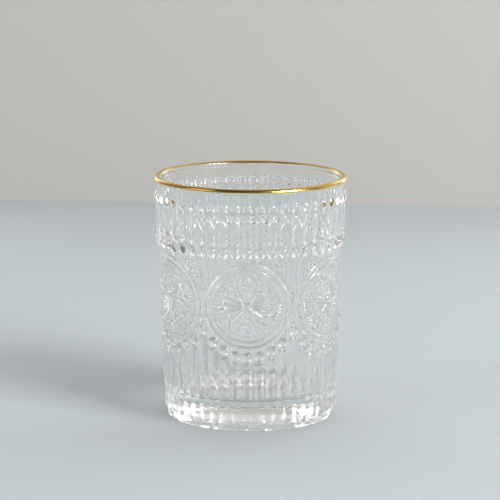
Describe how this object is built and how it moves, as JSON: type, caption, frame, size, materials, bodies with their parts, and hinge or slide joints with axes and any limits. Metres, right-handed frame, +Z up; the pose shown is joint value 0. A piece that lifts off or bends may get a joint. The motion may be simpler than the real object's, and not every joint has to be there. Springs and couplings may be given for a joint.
{
  "type": "rocks glass",
  "caption": "Clear pressed-glass tumbler with a gilded rim, rows of beads, upright ribs and round medallions around a slightly tapered wall, for cold drinks.",
  "frame": {"origin": "centre of the ring that the glass stands on, at the height of the table", "axes": "+Z up along the axis of the glass, -Y through the middle of one medallion"},
  "size_m": [0.0846, 0.0846, 0.1067],
  "materials": {
    "clear_glass": "clear, fire polished",
    "gilding": "bright fired gold"
  },
  "bodies": {
    "root": {"glass_body": "clear_glass", "gold_rim": "gilding"}
  },
  "joints": []
}
